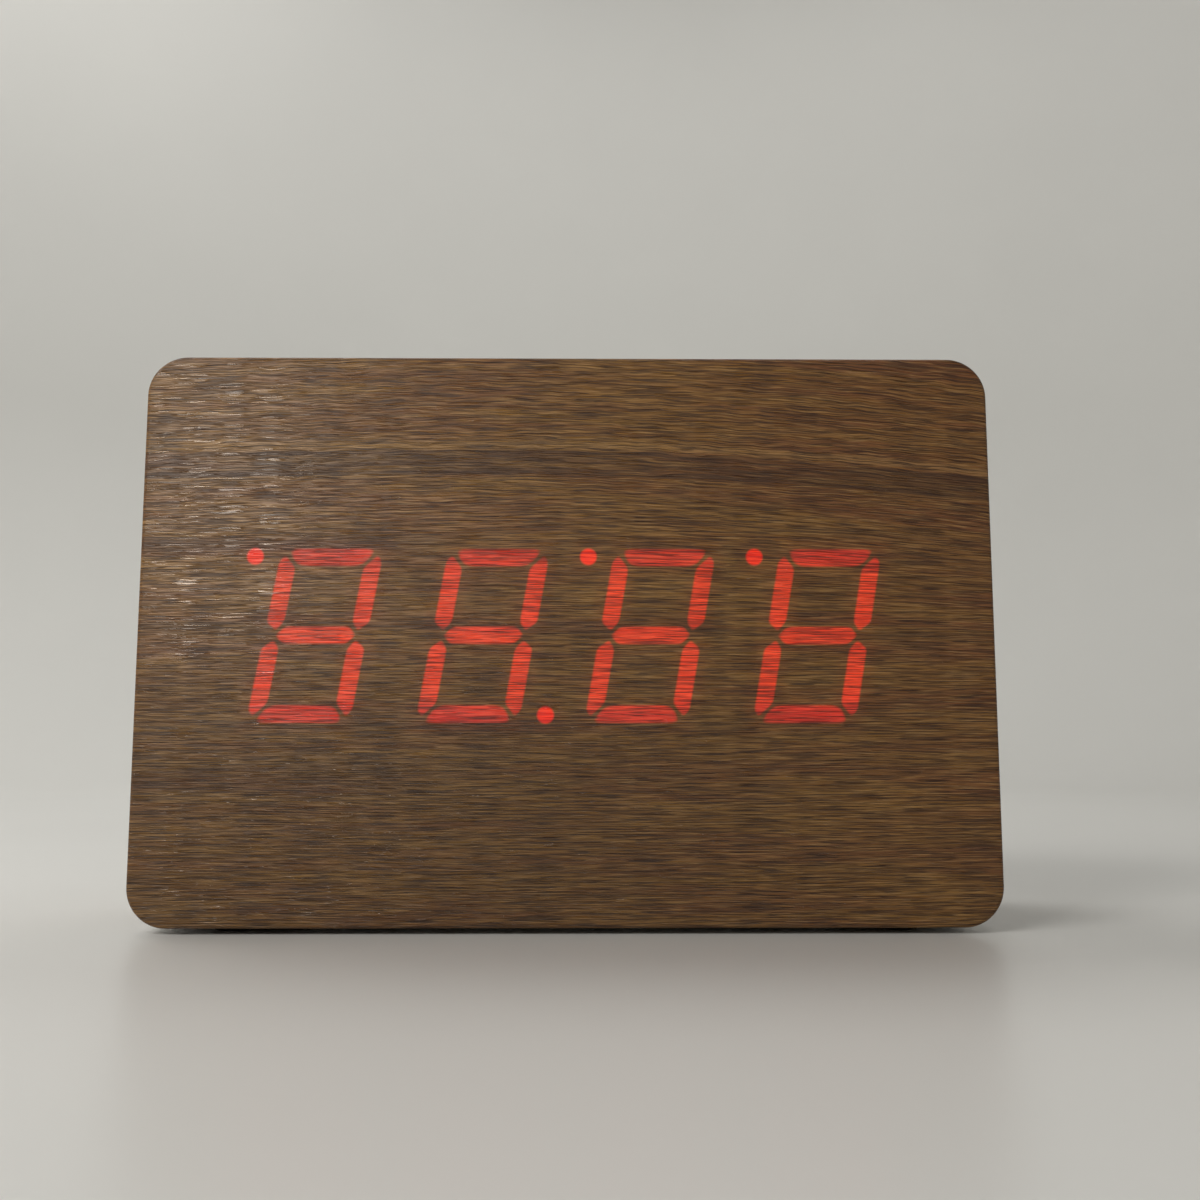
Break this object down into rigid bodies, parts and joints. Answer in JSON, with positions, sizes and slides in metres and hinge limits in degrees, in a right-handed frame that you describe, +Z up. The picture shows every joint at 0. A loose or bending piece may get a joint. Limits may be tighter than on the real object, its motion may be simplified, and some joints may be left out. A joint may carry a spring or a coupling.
{
  "type": "digital led desk clock",
  "caption": "Wood-look block desk clock whose red seven-segment digits glow through the film on its face, with a battery door, buttons and a power socket at the back.",
  "frame": {"origin": "centre of the footprint, on the surface that the feet stand on", "axes": "+X along the face to the right as seen from the front, +Y from the face to the back, +Z up"},
  "size_m": [0.15, 0.045, 0.101],
  "materials": {
    "wood_film": "printed and embossed wood grain, satin",
    "fibreboard": "raw",
    "foot_rubber": "matte",
    "black_plastic": "fine spark texture",
    "gloss_black": "gloss",
    "button_black": "satin",
    "black_steel": "black oxide",
    "bright_steel": "zinc plated",
    "spring_steel": "nickel plated",
    "lead_red": "satin",
    "lead_black": "satin",
    "circuit_board": "solder mask",
    "chip_resin": "moulded",
    "chip_ceramic": "fired",
    "housing_white": "moulded",
    "lens_red": "cast",
    "socket_brass": "plated",
    "can_metal": "drawn",
    "bead_resin": "dipped",
    "capacitor_sleeve": "sleeved",
    "ribbon_grey": "satin",
    "header_white": "moulded",
    "cell_sleeve": "shrink sleeve, satin"
  },
  "bodies": {
    "case": {"grain_film": "wood_film", "body_shell": "fibreboard", "rear_board": "fibreboard", "rear_board_film": "wood_film", "rubber_feet": "foot_rubber", "rear_panel": "black_plastic", "panel_screws": "black_steel", "battery_springs": "spring_steel", "battery_contacts": "spring_steel", "battery_lead_low": "lead_black", "battery_lead_high": "lead_red", "main_board": "circuit_board", "main_board_screws": "bright_steel", "display_board": "circuit_board", "display_board_screws": "bright_steel", "digit_pins": "bright_steel", "slide_switch": "bright_steel", "power_socket": "gloss_black", "socket_pin": "socket_brass", "buzzer": "gloss_black", "microphone": "can_metal", "thermistor": "bead_resin", "clock_chip": "chip_resin", "driver_chips": "chip_resin", "crystal": "can_metal", "capacitors": "capacitor_sleeve", "chip_resistors": "chip_ceramic", "ribbon_cable": "ribbon_grey", "main_header": "header_white", "display_header": "header_white", "battery_1": "cell_sleeve", "battery_2": "cell_sleeve", "battery_3": "cell_sleeve", "battery_4": "cell_sleeve", "digit_housing_1": "housing_white", "digit_lenses_1": "lens_red", "digit_carrier_1": "circuit_board", "digit_housing_2": "housing_white", "digit_lenses_2": "lens_red", "digit_carrier_2": "circuit_board", "digit_housing_3": "housing_white", "digit_lenses_3": "lens_red", "digit_carrier_3": "circuit_board", "digit_housing_4": "housing_white", "digit_lenses_4": "lens_red", "digit_carrier_4": "circuit_board", "tact_switch_1": "gloss_black", "tact_switch_2": "gloss_black", "tact_switch_3": "gloss_black"},
    "door": {"battery_door": "black_plastic"},
    "button_1": {"button_cap_1": "button_black", "switch_plunger_1": "gloss_black"},
    "button_2": {"button_cap_2": "button_black", "switch_plunger_2": "gloss_black"},
    "button_3": {"button_cap_3": "button_black", "switch_plunger_3": "gloss_black"},
    "knob": {"switch_knob": "black_plastic"}
  },
  "joints": [
    {"name": "door_hinge", "type": "hinge", "parent": "case", "child": "door", "pos_m": [0.02565, 0.0204, 0.0279], "axis": [-1, 0, 0], "range_deg": [0, 90]},
    {"name": "button_1_press", "type": "slide", "parent": "case", "child": "button_1", "axis": [0, -1, 0], "range_m": [0, 0.0005], "stiffness_N_per_m": 800, "springref_m": -0.001},
    {"name": "button_2_press", "type": "slide", "parent": "case", "child": "button_2", "axis": [0, -1, 0], "range_m": [0, 0.0005], "stiffness_N_per_m": 800, "springref_m": -0.001},
    {"name": "button_3_press", "type": "slide", "parent": "case", "child": "button_3", "axis": [0, -1, 0], "range_m": [0, 0.0005], "stiffness_N_per_m": 800, "springref_m": -0.001},
    {"name": "knob_slide", "type": "slide", "parent": "case", "child": "knob", "axis": [1, 0, 0], "range_m": [0, 0.002]}
  ]
}
